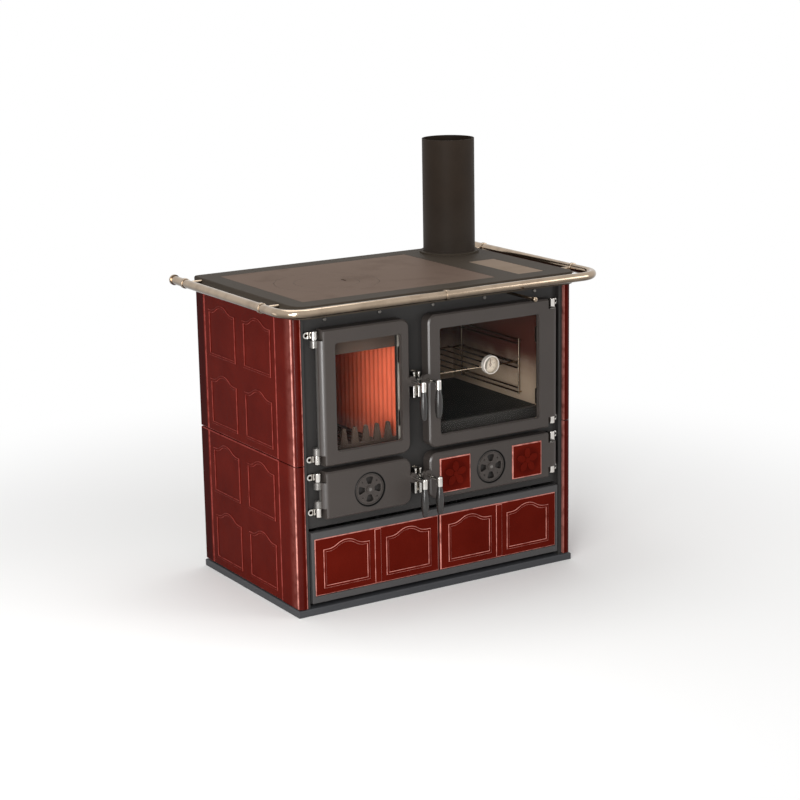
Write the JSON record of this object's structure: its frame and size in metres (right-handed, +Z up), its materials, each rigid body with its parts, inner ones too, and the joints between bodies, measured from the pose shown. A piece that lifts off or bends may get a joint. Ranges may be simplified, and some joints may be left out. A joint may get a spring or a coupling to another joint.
{
  "type": "wood-burning cookstove",
  "caption": "Wood-burning cookstove with glazed tile sides, firebox and oven behind glass doors, ash door, wood drawer, ground hob plate, towel rail and flue pipe.",
  "frame": {"origin": "centre of the plinth's underside, on the floor", "axes": "+Z up, the front with the doors faces -Y, +X to the right of a person facing the front"},
  "size_m": [1.034, 0.7105, 1.192],
  "materials": {
    "tile_glaze": "deep red gloss",
    "dark_cast": "stove paint",
    "machined_iron": "ground",
    "bright_chrome": "polished",
    "casing_steel": "matt",
    "black_pipe": "matt black",
    "fire_iron": "sooty",
    "refractory": "rough fired",
    "oven_enamel": "enamel",
    "bright_wire": "plated",
    "door_glass": "clear",
    "dark_grip": "satin",
    "needle_paint": "satin"
  },
  "bodies": {
    "fire_door": {"fire_door": "dark_cast", "fire_door_glass": "door_glass", "fire_door_clips": "bright_wire"},
    "oven_door": {"oven_door": "dark_cast", "oven_door_glass": "door_glass", "oven_door_clips": "bright_wire", "thermometer_case": "bright_chrome"},
    "ash_door": {"ash_door": "dark_cast"},
    "lower_door": {"lower_door": "dark_cast", "lower_door_rosette": "dark_cast", "lower_door_tiles": "tile_glaze"},
    "fire_handle": {"fire_door_lever": "bright_chrome", "fire_door_grip": "dark_grip"},
    "oven_handle": {"oven_door_lever": "bright_chrome", "oven_door_grip": "dark_grip"},
    "ash_handle": {"ash_door_lever": "bright_chrome", "ash_door_grip": "dark_grip"},
    "lower_handle": {"lower_door_lever": "bright_chrome", "lower_door_grip": "dark_grip"},
    "air_regulator": {"air_regulator": "dark_cast"},
    "thermometer_needle": {"thermometer_needle": "needle_paint"},
    "drawer": {"drawer_front": "dark_cast", "drawer_tiles": "tile_glaze", "drawer_box": "casing_steel"},
    "hob_ring": {"hob_ring": "machined_iron"},
    "hob_disc": {"hob_disc": "machined_iron"},
    "damper": {"damper": "bright_wire"},
    "flue_pipe": {"flue_pipe": "black_pipe"},
    "stove_body": {"left_side_tiles": "tile_glaze", "right_side_tiles": "tile_glaze", "left_corner_tiles": "tile_glaze", "right_corner_tiles": "tile_glaze", "front_frame": "dark_cast", "hob_frame": "dark_cast", "flue_collar": "dark_cast", "plinth": "dark_cast", "hob_main_plate": "machined_iron", "hob_side_plate": "machined_iron", "rail_left": "bright_chrome", "rail_right": "bright_chrome", "rail_stays": "bright_chrome", "rail_finials": "bright_chrome", "hinge_brackets": "bright_chrome", "latch_keepers": "bright_chrome", "left_casing": "casing_steel", "right_casing": "casing_steel", "rear_panel": "casing_steel", "drawer_runners": "casing_steel", "firebox_shell": "fire_iron", "grate": "fire_iron", "log_retainer": "fire_iron", "smoke_baffle": "fire_iron", "ash_pan": "fire_iron", "lining_left": "refractory", "lining_right": "refractory", "lining_back": "refractory", "oven_box": "oven_enamel", "oven_runners": "bright_wire", "oven_rack": "bright_wire", "frame_screws": "bright_wire"}
  },
  "joints": [
    {"name": "fire_door_hinge", "type": "hinge", "parent": "stove_body", "child": "fire_door", "pos_m": [-0.382, -0.2745, 0.599], "axis": [0, 0, -1], "range_deg": [0, 95]},
    {"name": "oven_door_hinge", "type": "hinge", "parent": "stove_body", "child": "oven_door", "pos_m": [0.385, -0.2745, 0.599], "axis": [0, 0, 1], "range_deg": [0, 95]},
    {"name": "ash_door_hinge", "type": "hinge", "parent": "stove_body", "child": "ash_door", "pos_m": [-0.382, -0.2745, 0.333], "axis": [0, 0, -1], "range_deg": [0, 95]},
    {"name": "lower_door_hinge", "type": "hinge", "parent": "stove_body", "child": "lower_door", "pos_m": [0.385, -0.2745, 0.333], "axis": [0, 0, 1], "range_deg": [0, 95]},
    {"name": "fire_handle_turn", "type": "hinge", "parent": "fire_door", "child": "fire_handle", "pos_m": [-0.097, -0.3575, 0.61], "axis": [0, 1, 0], "range_deg": [0, 35]},
    {"name": "oven_handle_turn", "type": "hinge", "parent": "oven_door", "child": "oven_handle", "pos_m": [-0.049, -0.3575, 0.61], "axis": [0, -1, 0], "range_deg": [0, 35]},
    {"name": "ash_handle_turn", "type": "hinge", "parent": "ash_door", "child": "ash_handle", "pos_m": [-0.097, -0.3575, 0.34], "axis": [0, 1, 0], "range_deg": [0, 35]},
    {"name": "lower_handle_turn", "type": "hinge", "parent": "lower_door", "child": "lower_handle", "pos_m": [-0.049, -0.3575, 0.34], "axis": [0, -1, 0], "range_deg": [0, 35]},
    {"name": "air_regulator_turn", "type": "hinge", "parent": "ash_door", "child": "air_regulator", "pos_m": [-0.236, -0.2935, 0.331], "axis": [0, -1, 0], "range_deg": [0, 45]},
    {"name": "thermometer_needle_turn", "type": "hinge", "parent": "oven_door", "child": "thermometer_needle", "pos_m": [0.16, -0.2991, 0.622], "axis": [0, 1, 0], "range_deg": [-130, 130]},
    {"name": "drawer_slide", "type": "slide", "parent": "stove_body", "child": "drawer", "axis": [0, -1, 0], "range_m": [0, 0.35]},
    {"name": "hob_ring_lift", "type": "slide", "parent": "stove_body", "child": "hob_ring", "axis": [0, 0, 1], "range_m": [0, 0.08]},
    {"name": "hob_disc_lift", "type": "slide", "parent": "hob_ring", "child": "hob_disc", "axis": [0, 0, 1], "range_m": [0, 0.08]},
    {"name": "damper_slide", "type": "slide", "parent": "stove_body", "child": "damper", "axis": [0, 1, 0], "range_m": [0, 0.11]},
    {"name": "flue_pipe_lift", "type": "slide", "parent": "stove_body", "child": "flue_pipe", "axis": [0, 0, 1], "range_m": [0, 0.06]}
  ]
}
